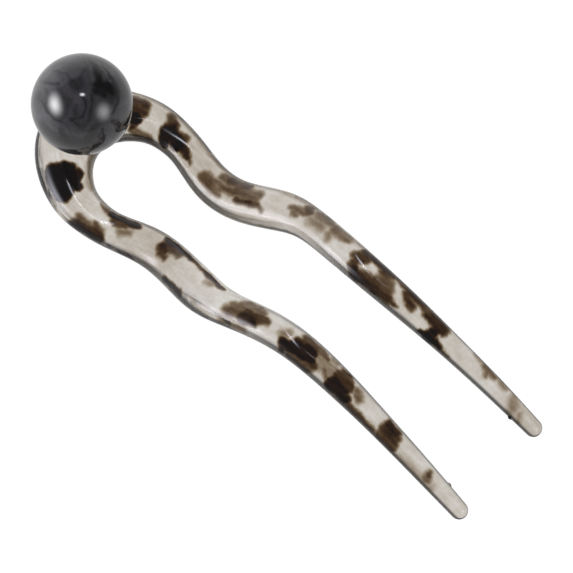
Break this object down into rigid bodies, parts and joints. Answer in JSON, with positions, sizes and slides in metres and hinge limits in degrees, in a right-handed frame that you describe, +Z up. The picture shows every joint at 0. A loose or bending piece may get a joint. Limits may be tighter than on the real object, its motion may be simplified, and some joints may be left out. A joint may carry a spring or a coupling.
{
  "type": "french hair pin",
  "caption": "Wavy two-pronged hair pin of clear tortoiseshell plastic, arched to hold a bun, with a large marbled ball on its crown.",
  "frame": {"origin": "on the table, under the middle of the pin's bounding box", "axes": "+X from the ball to the tips of the prongs, +Y across the prongs, +Z up, the pin lying as by itself on a table"},
  "size_m": [0.118, 0.0322, 0.0286],
  "materials": {
    "tortoiseshell_plastic": "clear greige plastic with near-black and umber tortoiseshell blotches, polished",
    "marbled_ball": "charcoal resin with soft grey marbling, high gloss",
    "peg_plastic": "clear plastic, hidden"
  },
  "bodies": {
    "root": {"fork": "tortoiseshell_plastic", "ball": "marbled_ball", "ball_peg": "peg_plastic"}
  },
  "joints": []
}
